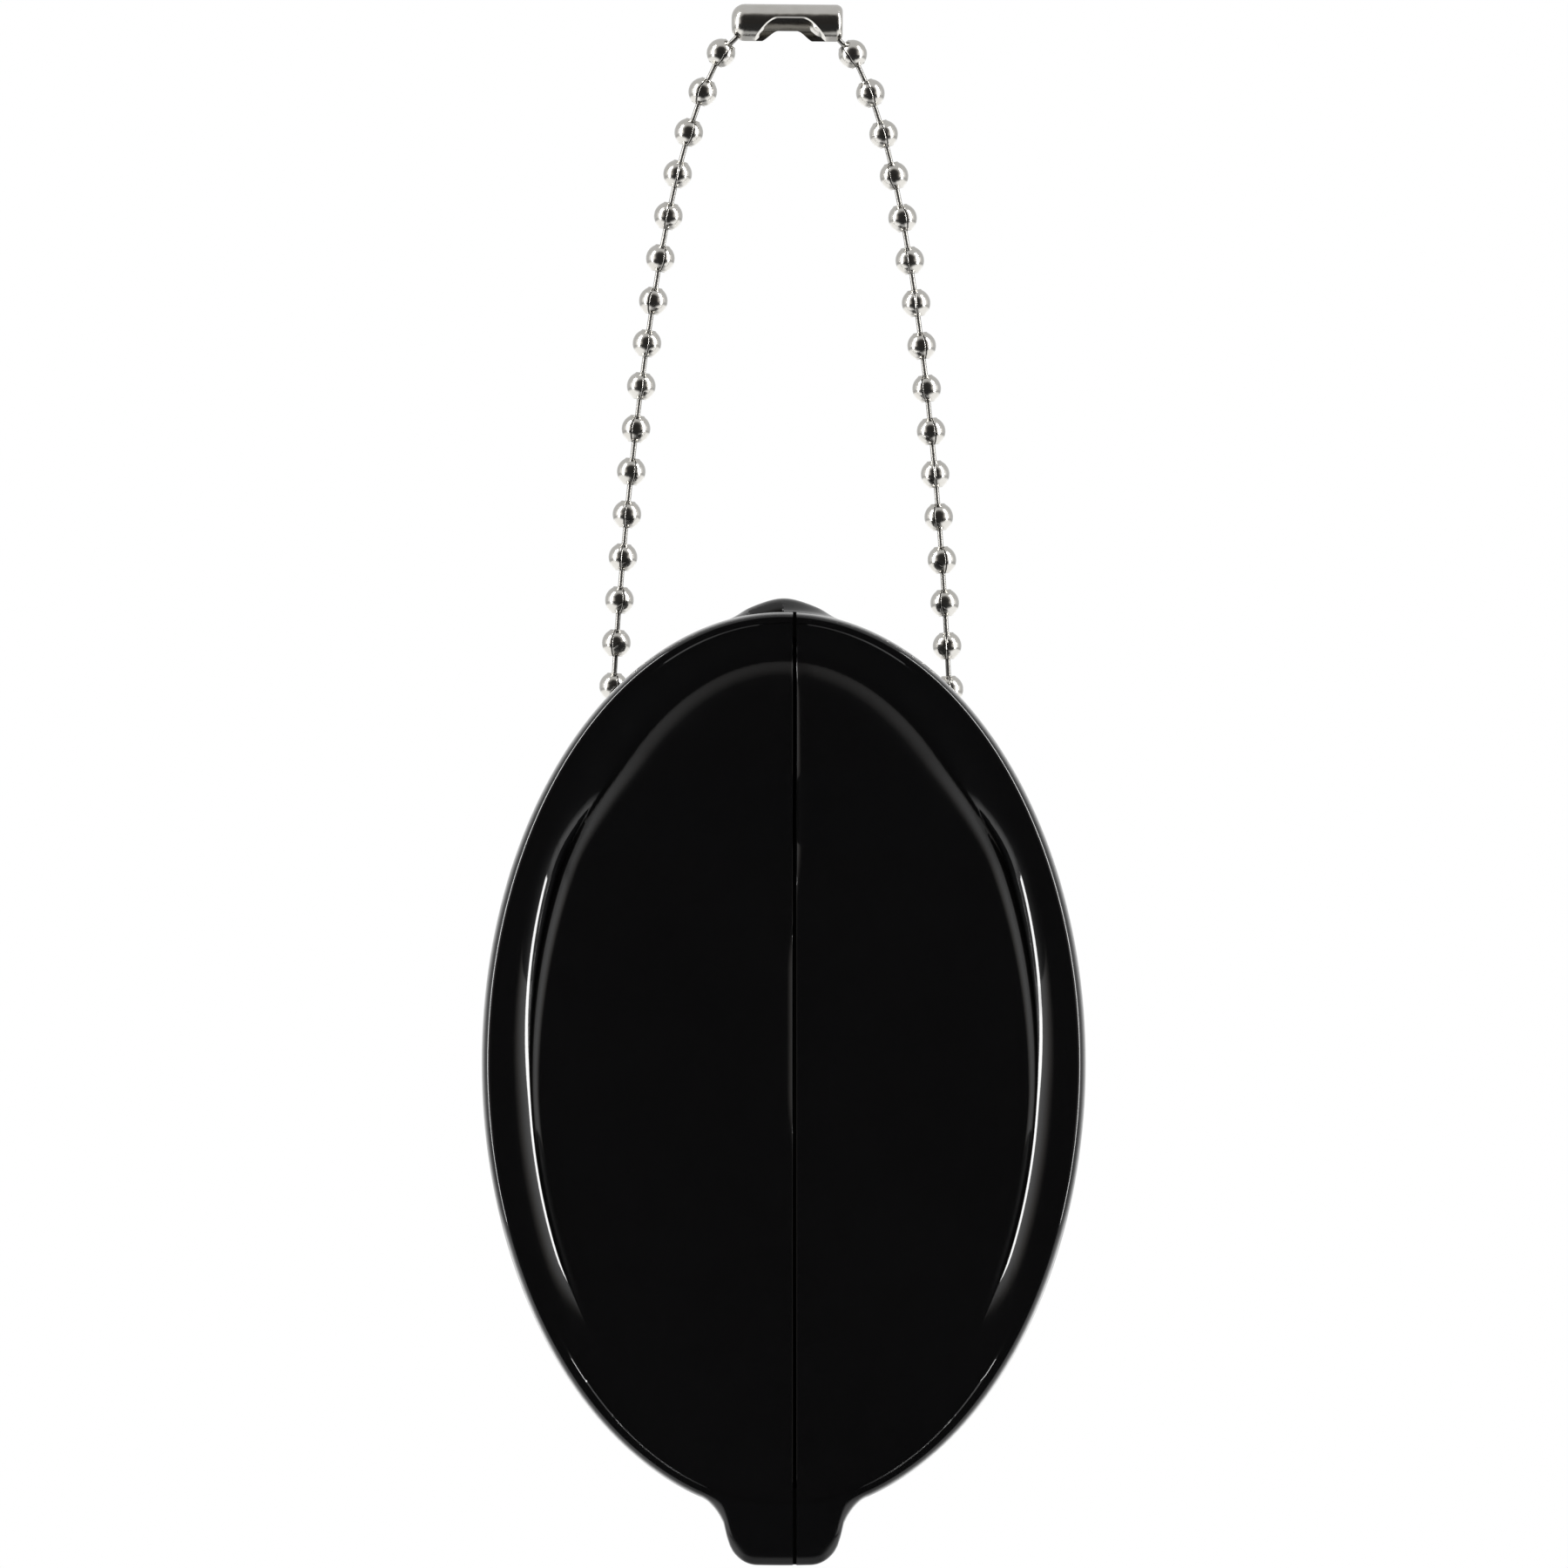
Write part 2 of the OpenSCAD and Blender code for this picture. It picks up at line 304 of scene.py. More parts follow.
def polyline(bm, points):
    """A string of edges through points."""
    verts = [bm.verts.new(point) for point in points]
    edges = [bm.edges.new(pair) for pair in zip(verts, verts[1:])]
    return verts, edges


def smoothstep(low, high, value):
    """0 below low, 1 above high and smooth in between."""
    t = min(1.0, max(0.0, (value - low) / (high - low)))
    return t * t * (3 - 2 * t)


def purse_origin():
    """The middle of the oval, from the lip hinges and the crease height."""
    left, right = JOINTS["lip_left_open"]["pos_m"], JOINTS["lip_right_open"]["pos_m"]
    settings = bpy.context.scene.purse
    return Vector(((left[0] + right[0]) / 2, left[1] + settings.crease, left[2]))


# The purse


def inside_oval(half_width, half_length, x, z):
    """About how far a point lies inside an oval, negative outside it."""
    share = math.hypot(x / half_width, z / half_length)
    steep = math.hypot(x / half_width**2, z / half_length**2)
    return (1 - share) * share / steep if steep > 0 else half_width


def shoulder_share(t):
    """A slope from 0 to 1 that starts straight and levels off."""
    t = min(1.0, t)
    return (4 * t - t**4) / 3


def end_softness(settings, z):
    """0 along the sides, where the crease is sharp, and 1 at the two ends, where it fades."""
    return smoothstep(0.46, 0.74, abs(z) / settings.crease_length)


def front_height(s, x, z):
    """How far the front stands before the widest outline, from the top of the rim inwards."""
    inside = inside_oval(s.crease_width, s.crease_length, x, z)
    soft = end_softness(s, z)
    # The rim falls in a curve to the crease, and a shoulder, wider towards the top, leads up to the panel.
    past = inside - (1.2 * MM * soft if z > 0 else 0.0)
    slope = min(SHOULDER_TOP, SHOULDER + 0.05 * max(0.0, z + 3 * MM))
    rise = 0.5 * slope
    # At the top the crease softens into a shallow valley.
    end = s.rim - VALLEY_DEPTH * smoothstep(-3.8 * MM, 0.3 * MM, past)
    if past < 0:
        side = s.rim - (s.rim - s.panel + rise) * (1 - min(1.0, -past / RIM_FLANK)) ** 2
    else:
        side = s.panel - rise * (1 - shoulder_share(past / slope))
        end += VALLEY_DEPTH * shoulder_share(past / VALLEY_RISE)
    if z < 0:
        # Towards the bottom the front runs smoothly into the neck.
        end = s.rim - FOOT_DEPTH * smoothstep(-4.9 * MM, 3.3 * MM, inside)
    share = math.hypot(x / s.crease_width, z / s.crease_length)
    return side + (end - side) * soft - s.dish * max(0.0, 1 - share**2)


def slit_roll(side, distance, z):
    """How far a panel's cut edge rolls in: the right one above the middle, the left one at the middle."""
    middle, half = (24 * MM, 9 * MM) if side > 0 else (2.4 * MM, 8 * MM)
    place = 1 - smoothstep(half - 3 * MM, half + 3 * MM, abs(z - middle))
    near = max(0.0, 1 - distance / (1.5 * MM))
    return (0.02 + 0.26 * place) * MM * near**2


def spin_oval(bm, profile, steps):
    """Spins a profile of (half width, depth, half length, on the front) and stretches it into the oval."""
    stretch = bm.verts.layers.float.new("stretch")
    front = bm.verts.layers.float.new("front")
    verts, edges = polyline(bm, [(0, y, r) for r, y, l, f in profile])
    for vert, (r, y, l, f) in zip(verts, profile):
        vert[stretch] = l / r if r > 1e-7 else 1.0
        vert[front] = f
    bmesh.ops.spin(
        bm, geom=verts + edges, cent=(0, 0, 0), axis=(0, 1, 0), angle=2 * math.pi, steps=steps, use_merge=True
    )
    bmesh.ops.remove_doubles(bm, verts=bm.verts, dist=1e-7)
    for vert in bm.verts:
        r = math.hypot(vert.co.x, vert.co.z)
        turn = math.atan2(vert.co.x, vert.co.z)
        turn -= 0.36 * math.sin(2 * turn)
        vert.co.x, vert.co.z = r * math.sin(turn), r * vert[stretch] * math.cos(turn)
        if vert[front] > 0.5:
            vert.co.y = -front_height(bpy.context.scene.purse, vert.co.x, vert.co.z)


def back_depth(depth, share):
    """How far the back stands behind the widest outline at a share of the way out from its middle."""
    return depth * (1 - share**2.5) ** 0.4


def oval_end(s, x):
    """Half the oval's length at a place across it."""
    return s.half_length * math.sqrt(1 - (x / s.half_width) ** 2)


def body_profile(s):
    """The moulding's section, from the back's middle round the rim to the crease and back inside."""
    profile = []
    for i in range(73):
        turn = math.pi / 2 * i / 72
        k = math.sin(turn) ** 0.9
        profile.append((s.half_width * k, back_depth(s.back, k), s.half_length * k, 0))
    rim_side, rim_end = s.half_width - s.crease_width, s.half_length - s.crease_length
    # The rim's outer edge is a tight roll, and its front is nearly flat up to the crease.
    roll = RIM_ROLL / rim_side
    for i in range(1, 41):
        turn = math.pi / 2 * i / 40
        t = roll * (1 - max(0.0, math.cos(turn)) ** 0.45)
        y = -s.rim * math.sin(turn) ** 0.45
        profile.append((s.half_width - rim_side * t, y, s.half_length - rim_end * t, 0))
    for i in range(1, 37):
        t = roll + (1 - roll) * (1 - (1 - i / 36) ** 1.8)
        profile.append((s.half_width - rim_side * t, -s.rim, s.half_length - rim_end * t, 1))
    inner = s.wall
    profile.append((s.crease_width, -s.crease + inner, s.crease_length, 0))
    w, l = s.half_width - inner, s.half_length - inner
    step_w, step_l = w - s.crease_width, l - s.crease_length
    for i in range(1, 7):
        turn = math.pi / 2 * i / 6
        share = math.sin(turn)
        y = (-s.crease + inner) * math.cos(turn)
        profile.append((s.crease_width + step_w * share, y, s.crease_length + step_l * share, 0))
    for i in range(1, 25):
        turn = math.pi / 2 * (1 - i / 24)
        k = math.sin(turn) ** 0.9 if turn > 0 else 0.0
        profile.append((w * k, back_depth(s.back - inner, k), l * k, 0))
    return profile


def neck_reach(s, x, outline):
    """How far the neck reaches below the oval's outline at a place across it."""
    side, fillet, corner = s.neck_half, s.neck_fillet, NECK_CORNER
    x = abs(x)
    if x <= side:
        over = max(0.0, x - (side - corner))
        end = s.neck_end - (corner - math.sqrt(max(0.0, corner**2 - over**2)))
        return max(0.0, end - 0.1 * MM * (x / side) ** 2 - outline)
    # The fillet's circle touches the neck's side and the oval; the part past the oval is left out.
    reach = side + fillet - x
    if reach <= 0.4 * fillet:
        return 0.0
    z = s.neck_end - 1.8 * MM - math.sqrt(max(0.0, fillet**2 - reach**2))
    return max(0.0, z - outline)


def neck_share(s, y):
    """The neck's share of its full reach at a depth: it rounds off at the front and fades into the back."""
    if y < 0:
        return 1 - (1 - min(1.0, max(0.0, y + s.rim) / NECK_FACE)) ** 3
    return 1 - smoothstep(2.2 * MM, 5.2 * MM, y)


def hump_top(x):
    """The hump's outline over the rim, above the middle of the oval."""
    return 39.29 * MM - math.hypot(0.507 * x, 0.89 * MM)


def lift_hump(s, x, y, z):
    """Pulls a point of the back's top edge up to the hump's outline."""
    outline = oval_end(s, x)
    rise = hump_top(x) - outline
    rise = 0.5 * (rise + math.hypot(rise, 0.12 * MM)) - 0.06 * MM
    near = 1 - smoothstep(2.2 * MM, 3.8 * MM, y)
    raised = max(0.0, rise) + max(0.0, outline - z) * near * smoothstep(0.0, 0.6 * MM, rise)
    return z + raised * smoothstep(0.2 * MM, 2.2 * MM, y)


def ridge_height(s, x, z):
    """How far the ridge with the eye stands behind the widest outline."""
    along = z - s.eye_height
    crest = s.eye_depth + s.ridge_half + 0.5 * MM - math.hypot(0.517 * along, 0.5 * MM)
    half = s.ridge_half - 0.075 * abs(along)
    share, edge = abs(x) / half, 0.93
    if share < edge:
        return crest - half * (1 - math.sqrt(1 - share**2))
    round_off = math.sqrt(1 - edge**2)
    return crest - half * (1 - round_off) - (share - edge) * half * edge / round_off


def lift_ridge(s, x, y, z):
    """Raises a point of the back to the ridge, with a fillet along its foot."""
    over = ridge_height(s, x, z)
    lifted = 0.5 * (y + over + math.hypot(y - over, 0.8 * MM))
    return y + (lifted - y) * smoothstep(1.8 * MM, 3.0 * MM, y)


def box_cutter(low, high):
    """A closed box between two corners."""
    bm = bmesh.new()
    bmesh.ops.create_cube(bm, size=1)
    low, high = Vector(low), Vector(high)
    bmesh.ops.scale(bm, vec=high - low, verts=bm.verts)
    bmesh.ops.translate(bm, vec=(low + high) / 2, verts=bm.verts)
    return bm


def turned_cutter(profile, steps=64):
    """A closed round form turned about the X axis from (place along it, radius) pairs."""
    bm = bmesh.new()
    verts, edges = polyline(bm, [(x, 0, r) for x, r in profile])
    bmesh.ops.spin(
        bm, geom=verts + edges, cent=(0, 0, 0), axis=(1, 0, 0), angle=2 * math.pi, steps=steps, use_merge=True
    )
    bmesh.ops.remove_doubles(bm, verts=bm.verts, dist=1e-7)
    bmesh.ops.recalc_face_normals(bm, faces=bm.faces)
    return bm


def cut_away(bm, *cutters):
    """Cuts closed cutters out of a closed mesh, one after another."""
    for cutter in cutters:
        pair = []
        for part in (bm, cutter):
            mesh = bpy.data.meshes.new("cut")
            part.to_mesh(mesh)
            pair.append(bpy.data.objects.new("cut", mesh))
            bpy.context.scene.collection.objects.link(pair[-1])
        cutter.free()
        work, tool = pair
        cut = work.modifiers.new("cut", "BOOLEAN")
        cut.operation, cut.solver, cut.object = "DIFFERENCE", "EXACT", tool
        made = bpy.data.meshes.new_from_object(work.evaluated_get(bpy.context.evaluated_depsgraph_get()))
        bm.clear()
        bm.from_mesh(made)
        for item in pair:
            mesh = item.data
            bpy.data.objects.remove(item)
            bpy.data.meshes.remove(mesh)
        bpy.data.meshes.remove(made)


class PURSE_OT_body(bpy.types.Operator):
    """Adds the purse's moulded body: back, ridge with its eye, rolled rim, hump, neck and inside"""

    bl_idname = "purse.body"
    bl_label = "Purse body"

    def execute(self, context):
        s = context.scene.purse
        bm = bmesh.new()
        spin_oval(bm, body_profile(s), 360)
        for vert in bm.verts:
            x, y, z = vert.co
            if abs(x) > 9 * MM:
                continue
            share = min(1.0, math.hypot(x / s.half_width, z / s.half_length))
            on_back = y > 0 and abs(y - back_depth(s.back, share)) < 1e-6
            within = math.hypot(x / (s.half_width - s.wall), z / (s.half_length - s.wall))
            if on_back and z > 0:
                vert.co = (x, lift_ridge(s, x, y, z), lift_hump(s, x, y, z))
            elif z < 0 and within > 1.001:
                vert.co.z -= neck_reach(s, x, oval_end(s, x)) * neck_share(s, y)
        bmesh.ops.recalc_face_normals(bm, faces=bm.faces)
        gap, end = s.slit_gap / 2, s.crease_length - 1 * MM
        # The bore opens like a horn towards both of its ends.
        half = [(x * MM, s.eye_bore + r * MM) for x, r in ((1.6, 0), (2.6, 0.2), (3.6, 0.62), (6, 1.4))]
        half.append((6 * MM, 0))
        eye = turned_cutter([(-x, r) for x, r in reversed(half)] + half)
        bmesh.ops.translate(eye, vec=(0, s.eye_depth, s.eye_height), verts=eye.verts)
        cut_away(
            bm, eye,
            box_cutter((s.slit - gap, -9 * MM, end), (s.slit + gap, 0.3 * MM, 45 * MM)),
            box_cutter((s.slit - gap, -9 * MM, -45 * MM), (s.slit + gap, 0.6 * MM, -end)),
        )
        bmesh.ops.translate(bm, vec=purse_origin(), verts=bm.verts)
        finish_piece(bm, "purse_body", "purse", MATERIALS["vinyl"], ["purse_shell"])
        return {"FINISHED"}


class PURSE_OT_lips(bpy.types.Operator):
    """Adds the two front panels, which bend open from the crease"""

    bl_idname = "purse.lips"
    bl_label = "Purse lips"

    def execute(self, context):
        s = context.scene.purse
        for side, name in ((-1, "left"), (1, "right")):
            edge = side * s.slit + s.slit_gap / 2
            bm = bmesh.new()
            bmesh.ops.create_grid(bm, x_segments=60, y_segments=180, size=0.5)
            reach = s.crease_length * (math.sqrt(1 - (edge / s.crease_width) ** 2) if edge > 0 else 1.0)
            for vert in bm.verts:
                across, along = vert.co.x + 0.5, 2 * vert.co.y
                z = reach * math.sin(along * math.pi / 2)
                crease = s.crease_width * math.sqrt(max(0.0, 1 - (z / s.crease_length) ** 2))
                start = max(edge, -crease)
                x = start + (crease - start) * (1 - (1 - across) ** 1.7)
                vert.co = (side * x, slit_roll(side, x - edge, z) - front_height(s, x, z), z)
            bmesh.ops.remove_doubles(bm, verts=bm.verts, dist=1e-6)
            made = bmesh.ops.extrude_face_region(bm, geom=bm.faces[:])["geom"]
            inner = [item for item in made if isinstance(item, bmesh.types.BMVert)]
            for vert in inner:
                vert.co.y += s.wall
            bmesh.ops.recalc_face_normals(bm, faces=bm.faces)
            cut = [
                e for e in bm.edges
                if len(e.link_faces) == 2 and all(abs(v.co.x - side * edge) < 1e-6 for v in e.verts)
                and e.calc_face_angle(0) > 1.0
            ]
            bmesh.ops.bevel(
                bm, geom=cut, offset=EDGE_ROUND, segments=2, profile=0.5, affect="EDGES", material=-1
            )
            bmesh.ops.translate(bm, vec=purse_origin(), verts=bm.verts)
            piece = finish_piece(bm, f"{name}_panel", None, MATERIALS["vinyl"], [f"{name}_lip"])
            hinge = Vector(JOINTS[f"lip_{name}_open"]["pos_m"])
            middle = purse_origin() + Vector((s.slit, -s.panel, 0))
            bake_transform(piece, "purse", f"{name}_lip", start=hinge, end=middle)
            bend_from_crease(piece, s)
        return {"FINISHED"}


def bend_from_crease(piece, s):
    """The panel stays with the rim all along the crease and opens most at the slit's middle."""
    centre = purse_origin()
    for vert, share in zip(piece.data.vertices, piece.data.attributes["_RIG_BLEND"].data):
        x, z = vert.co.x - centre.x, vert.co.z - centre.z
        share.value = max(0.0, 1 - (x / s.crease_width) ** 2 - (z / s.crease_length) ** 2)


# The chain


def bead_profile(c):
    """Half of a bead's wall, from its waist outside round the collar at the hole and back inside."""
    start = math.asin(c.collar * 1.12 / c.bead)
    points = []
    for i in range(9):
        turn = math.pi / 2 + (start - math.pi / 2) * i / 8
        points.append((c.bead * math.sin(turn), c.bead * math.cos(turn)))
    top = math.sqrt(c.bead**2 - c.collar**2) + 0.07 * MM
    points += [
        (c.collar, top - 0.05 * MM), (c.collar * 0.97, top - 0.01 * MM),
        (c.collar * 0.88, top + 0.01 * MM), (c.hole * 1.05, top - 0.02 * MM), (c.hole, top - 0.08 * MM),
    ]
    inner = c.bead - c.sheet
    start = math.asin(c.hole * 1.02 / inner)
    for i in range(5):
        turn = start + (math.pi / 2 - start) * i / 4
        points.append((inner * math.sin(turn), inner * math.cos(turn)))
    return points


def add_bead(bm, c, at, up, down, seam_turn):
    """Adds a bead whose holes point up and down along two unit directions that may meet at an angle."""
    part = bmesh.new()
    verts, edges = polyline(part, [(r, 0, z) for r, z in bead_profile(c)])
    bmesh.ops.spin(
        part, geom=verts + edges, cent=(0, 0, 0), axis=(0, 0, 1), angle=2 * math.pi, steps=40, use_merge=True
    )
    middle = (up - down).normalized()
    seam = part.verts.layers.float.new("seam")
    for vert in part.verts:
        away = math.atan2(vert.co.x, -vert.co.y) - seam_turn
        vert[seam] = abs((away + math.pi) % (2 * math.pi) - math.pi) * math.hypot(vert.co.x, vert.co.y) / MM
    turn = Vector((0, 0, 1)).rotation_difference(up).to_matrix().to_4x4()
    bmesh.ops.transform(part, matrix=turn, verts=part.verts)
    # The waist's two rings move along the sphere onto the plane halfway between the holes.
    for vert in part.verts:
        if abs(vert.co.dot(up)) < 1e-6:
            size = vert.co.length
            vert.co = (vert.co - middle * vert.co.dot(middle)).normalized() * size
    mirror = Matrix.Identity(3)
    for i in range(3):
        for j in range(3):
            mirror[i][j] -= 2 * middle[i] * middle[j]
    half = bpy.data.meshes.new("half")
    part.to_mesh(half)
    other = half.copy()
    other.transform(mirror.to_4x4())
    part.free()
    both = bmesh.new()
    both.from_mesh(half)
    both.from_mesh(other)
    bmesh.ops.remove_doubles(both, verts=both.verts, dist=2e-6)
    bmesh.ops.recalc_face_normals(both, faces=both.faces)
    bmesh.ops.translate(both, vec=at, verts=both.verts)
    whole = bpy.data.meshes.new("whole")
    both.to_mesh(whole)
    both.free()
    bm.from_mesh(whole)
    for mesh in (half, other, whole):
        bpy.data.meshes.remove(mesh)


def chain_points():
    """The bead centres of each row, left and right, from the boxes of the CAD beads."""
    rows = []
    for row in range(ROWS + 1):
        low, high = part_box(f"beads_{row:02d}" if row else "connector_beads")
        radius = bpy.context.scene.chain.bead
        half = (high[0] - low[0]) / 2 - radius
        middle = (low[0] + high[0]) / 2
        level = (low[2] + high[2]) / 2
        drop = half * math.tan(LEAN)
        rows.append([Vector((middle - half, 0, level + drop)), Vector((middle + half, 0, level - drop))])
    return rows


class PURSE_OT_beads(bpy.types.Operator):
    """Adds the pairs of beads with rolled collars, and plates the links with a darker copy of the plating
    that paints their shade
    """

    bl_idname = "purse.beads"
    bl_label = "Chain beads"

    def execute(self, context):
        c = context.scene.chain
        rows = chain_points()
        for row in range(ROWS + 1):
            bm = bmesh.new()
            for side in (0, 1):
                at = rows[row][side]
                below = rows[row + 1][side] if row < ROWS else rows[row][1 - side]
                down = (below - at).normalized()
                up = (rows[row - 1][side] - at).normalized() if row else -down
                # The rolled seam faces the front, turned a little to either side from bead to bead.
                seam_turn = 2 * math.pi / 40 * round(2.5 * math.sin(2.4 * row + 1.9 * side))
                add_bead(bm, c, at, up, down, seam_turn)
            body, node = (f"row_{row:02d}", f"beads_{row:02d}") if row else ("connector", "connector_beads")
            finish_piece(bm, f"row_{row:02d}_beads", body, MATERIALS["bead"], [node], 60)
        for name, node in frame["nodes"].items():
            if "link" in name:
                node.data.materials.clear()
                node.data.materials.append(MATERIALS["wire"])
        return {"FINISHED"}


class PURSE_OT_connector(bpy.types.Operator):
    """Adds the rolled sleeve that closes the chain"""

    bl_idname = "purse.connector"
    bl_label = "Connector"

    def execute(self, context):
        c = context.scene.connector
        bm = turned_cutter(sleeve_profile(c, 0), 96)
        slot = c.slot / 2
        cut_away(
            bm,
            turned_cutter(sleeve_profile(c, c.sheet), 96),
            arch_cutter(c, -3.5, -0.7, 1.2, 4.1, c.front_arch, -3 * MM, 0.0, 0.5),
            arch_cutter(c, -2.3, -0.7, 0.8, 2.3, c.back_arch, 0.0, 3 * MM, 0.0),
            box_cutter((-6 * MM, -slot, -3 * MM), (6 * MM, slot, 0.24 * MM)),
        )
        place = Matrix.Rotation(LEAN, 4, "Y") @ Matrix.Translation((0, 0, c.radius))
        bmesh.ops.transform(bm, matrix=place, verts=bm.verts)
        bmesh.ops.remove_doubles(bm, verts=bm.verts, dist=1e-6)
        paint = MATERIALS["nickel"]
        piece = finish_piece(bm, "connector_sleeve", "connector", paint, ["connector"], 40)
        edge = piece.modifiers.new("edge", "BEVEL")
        edge.width, edge.segments = EDGE_ROUND, 2
        edge.limit_method, edge.angle_limit = "ANGLE", math.radians(40)
        return {"FINISHED"}


def sleeve_profile(c, inset):
    """Half of the sleeve's section along its axis, its left corners rounder than its right ones."""
    r, half = c.radius - inset, c.half - inset
    left, right = max(0.2 * MM, 1.1 * MM - inset), max(0.2 * MM, 0.55 * MM - inset)
    points = [(-half, 0)]
    for i in range(9):
        turn = math.pi / 2 * i / 8
        points.append((-half + left * (1 - math.cos(turn)), r - left * (1 - math.sin(turn))))
    for i in range(9):
        turn = math.pi / 2 * i / 8
        points.append((half - right * (1 - math.sin(turn)), r - right * (1 - math.cos(turn))))
    return points + [(half, 0)]


def arch_cutter(c, start, left, right, end, top, low, high, lean):
    """Cuts the sleeve's wall below an arch with S-shaped flanks, between two depths."""
    bm = bmesh.new()
    base = -c.radius - 0.02 * MM
    points = []
    for i in range(49):
        x = (start + (end - start) * i / 48) * MM
        rise = smoothstep(start * MM, left * MM, x) * (1 - smoothstep(right * MM, end * MM, x))
        points.append((x, low, base + (top - base) * rise))
    points += [(end * MM, low, -3 * MM), (start * MM, low, -3 * MM)]
    verts, edges = polyline(bm, points)
    edges.append(bm.edges.new((verts[-1], verts[0])))
    face = bmesh.ops.contextual_create(bm, geom=edges)["faces"]
    made = bmesh.ops.extrude_face_region(bm, geom=face)["geom"]
    far = [item for item in made if isinstance(item, bmesh.types.BMVert)]
    bmesh.ops.translate(bm, vec=(0, high - low, 0), verts=far)
    # A leaning cut shows the sheet's thickness from the front.
    for vert in bm.verts:
        vert.co.z += lean * (-vert.co.y - 1.15 * MM)
    bmesh.ops.recalc_face_normals(bm, faces=bm.faces)
    return bm


def floor_material():
    """A pale floor that keeps the purse's soft shadow, with painted light that only mirror rays see: dark in
    front, grey behind and brighter in a band to each side.
    """
    made, tree = material("pale_floor")
    path = tree.add("ShaderNodeLightPath")
    camera = Shade(tree, path.outputs["Is Camera Ray"])
    mirror = Shade(tree, path.outputs["Is Glossy Ray"])
    parts = tree.add("ShaderNodeSeparateXYZ", {}, {0: tree.object_position()})
    x, y = Shade(tree, parts.outputs["X"]), Shade(tree, parts.outputs["Y"])
    # Painted light: mirror rays see the floor glow, dark in front, grey behind and brighter in two side
    # bands, which draws highlights on the beads and the vinyl.
    wide = (x * x) ** 0.5
    beside = wide.between(0.06, 0.16) * (1 - wide.between(0.6, 0.9))
    mirror_glow = 0.03 + 0.6 * y.between(-0.24, -0.16) + 0.9 * beside * y.between(-0.34, -0.2)
    plain = tree.add("ShaderNodeBsdfDiffuse", {}, {"Color": (0.85, 0.85, 0.85, 1)})
    white = tree.add("ShaderNodeEmission", {}, {"Color": (1, 1, 1, 1), "Strength": camera + mirror * mirror_glow})
    share = camera * 0.75 + mirror
    both = tree.add("ShaderNodeMixShader", {}, {0: share, 1: plain.outputs[0], 2: white.outputs[0]})
    tree.add("ShaderNodeOutputMaterial", {}, {"Surface": both.outputs[0]})
    return made


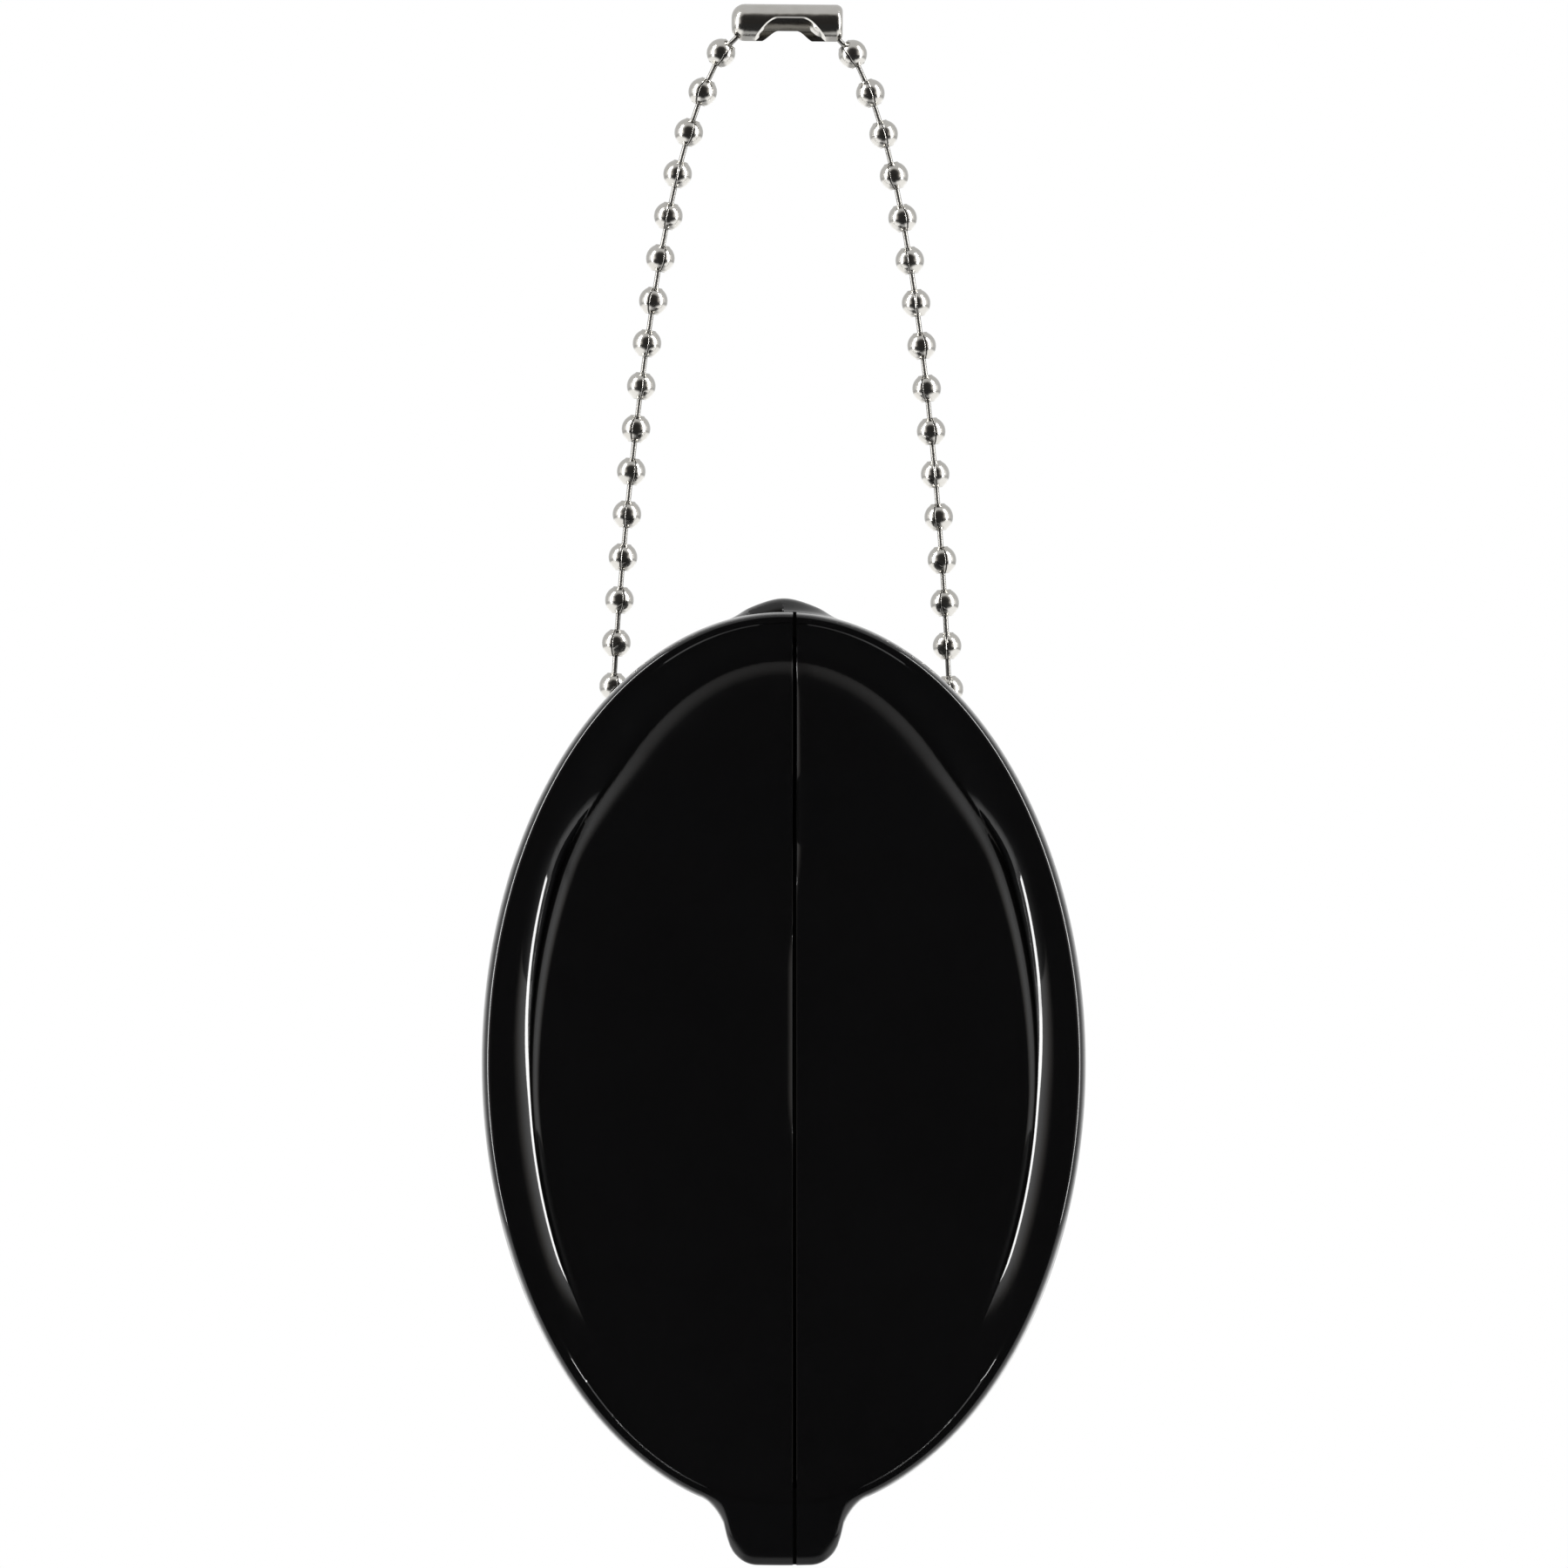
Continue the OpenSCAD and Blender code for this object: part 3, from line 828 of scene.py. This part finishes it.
class PURSE_OT_stage(bpy.types.Operator):
    """Adds the camera, the lights and the white surroundings"""

    bl_idname = "purse.stage"
    bl_label = "Stage"

    def execute(self, context):
        scene = context.scene
        camera = bpy.data.cameras.new("camera")
        view = bpy.data.objects.new("camera", camera)
        scene.collection.objects.link(view)
        scene.camera = view
        span, (across, down) = PHOTO_SIZE / PHOTO_SCALE * MM, HANG_PIXEL
        half = PHOTO_SIZE / 2
        middle = Vector(((half - across) / PHOTO_SCALE * MM, 0, (down - half) / PHOTO_SCALE * MM))
        view.location = middle + Vector((0, -CAMERA_DISTANCE, 0))
        view.rotation_euler = (math.pi / 2, 0, 0)
        camera.sensor_width = 36
        # The scale holds in a plane 5 mm before the hang point.
        camera.lens = 36 * (CAMERA_DISTANCE - 0.005) / span
        camera.clip_start = 0.01
        # A tall strip on each side draws the sharp line along the crease.
        for name, place in (("strip_left", (-0.5, -0.18, 0.12)), ("strip_right", (0.5, -0.18, 0.12))):
            light = bpy.data.lights.new(name, "AREA")
            light.shape = "RECTANGLE"
            light.size, light.size_y = 0.08, 0.8
            light.energy = 5.5
            lamp = bpy.data.objects.new(name, light)
            scene.collection.objects.link(lamp)
            lamp.location = place
            aim = Vector((0, -0.01, -0.07)) - Vector(place)
            lamp.rotation_euler = aim.to_track_quat("-Z", "Y").to_euler()
        bm = bmesh.new()
        bmesh.ops.create_circle(bm, cap_ends=True, segments=96, radius=FLOOR_RADIUS)
        bmesh.ops.translate(bm, vec=(0, 0, FLOOR_LEVEL), verts=bm.verts)
        mesh = bpy.data.meshes.new("floor")
        bm.to_mesh(mesh)
        bm.free()
        floor = bpy.data.objects.new("floor", mesh)
        scene.collection.objects.link(floor)
        mesh.materials.append(floor_material())
        world = bpy.data.worlds.new("world")
        scene.world = world
        tree = Tree(world)
        place = tree.add("ShaderNodeTexCoord").outputs["Generated"]
        parts = tree.add("ShaderNodeSeparateXYZ", {}, {0: place})
        x, y, z = (Shade(tree, parts.outputs[axis]) for axis in "XYZ")
        wide, high = (x * x) ** 0.5, (z * z) ** 0.5
        # A dark camera side, pale walls and a soft panel on each side; the camera itself sees white.
        camera_side = (z * 0.1 - y * 0.995).between(0.5, 0.78)
        sides = wide.between(0.5, 0.75) * (1 - high.between(0.2, 0.42)) * (1 - y.between(0.1, 0.35))
        glow = 0.8 * (1 - 0.965 * camera_side) + sides * 0.5
        seen = Shade(tree, tree.add("ShaderNodeLightPath").outputs["Is Camera Ray"])
        tint = tree.mix(camera_side, (1.0, 1.0, 1.0), (1.0, 0.94, 0.88))
        light = tree.add("ShaderNodeBackground", {}, {"Color": tint, "Strength": glow})
        white = tree.add("ShaderNodeBackground", {}, {"Color": (1, 1, 1, 1), "Strength": 1.0})
        both = tree.add("ShaderNodeMixShader", {}, {0: seen, 1: light.outputs[0], 2: white.outputs[0]})
        tree.add("ShaderNodeOutputWorld", {}, {"Surface": both.outputs[0]})
        scene.view_settings.view_transform = "Standard"
        return {"FINISHED"}


class PURSE_PT_panel(bpy.types.Panel):
    """Lists the steps that build the coin purse"""

    bl_idname = "PURSE_PT_panel"
    bl_label = "Coin Purse"
    bl_space_type = "VIEW_3D"
    bl_region_type = "UI"
    bl_category = "Coin Purse"

    def draw(self, context):
        for operator in OPERATORS:
            self.layout.operator(operator.bl_idname)


OPERATORS = (PURSE_OT_body, PURSE_OT_lips, PURSE_OT_beads, PURSE_OT_connector, PURSE_OT_stage)
CLASSES = (PurseSettings, ChainSettings, ConnectorSettings) + OPERATORS + (PURSE_PT_panel,)
MATERIALS = {}


def register():
    for cls in CLASSES:
        bpy.utils.register_class(cls)
    bpy.types.Scene.purse = PointerProperty(type=PurseSettings)
    bpy.types.Scene.chain = PointerProperty(type=ChainSettings)
    bpy.types.Scene.connector = PointerProperty(type=ConnectorSettings)


def unregister():
    del bpy.types.Scene.connector, bpy.types.Scene.chain, bpy.types.Scene.purse
    for cls in reversed(CLASSES):
        bpy.utils.unregister_class(cls)


def main():
    register()
    scene = bpy.context.scene
    MATERIALS["vinyl"] = vinyl_material(scene.purse.colour)
    MATERIALS["nickel"] = nickel_material(scene.chain.colour)
    MATERIALS["bead"] = nickel_material(scene.chain.colour, "bead_plate", 0.0, True)
    # Painted shade: the links get a copy of the plating at 0.42 of its colour, for the shade in the gaps
    # between the beads.
    MATERIALS["wire"] = nickel_material([0.42 * c for c in scene.chain.colour], "link_wire", 0.2)
    for operator in OPERATORS:
        group, name = operator.bl_idname.split(".")
        getattr(getattr(bpy.ops, group), name)()


if __name__ == "__main__":
    main()
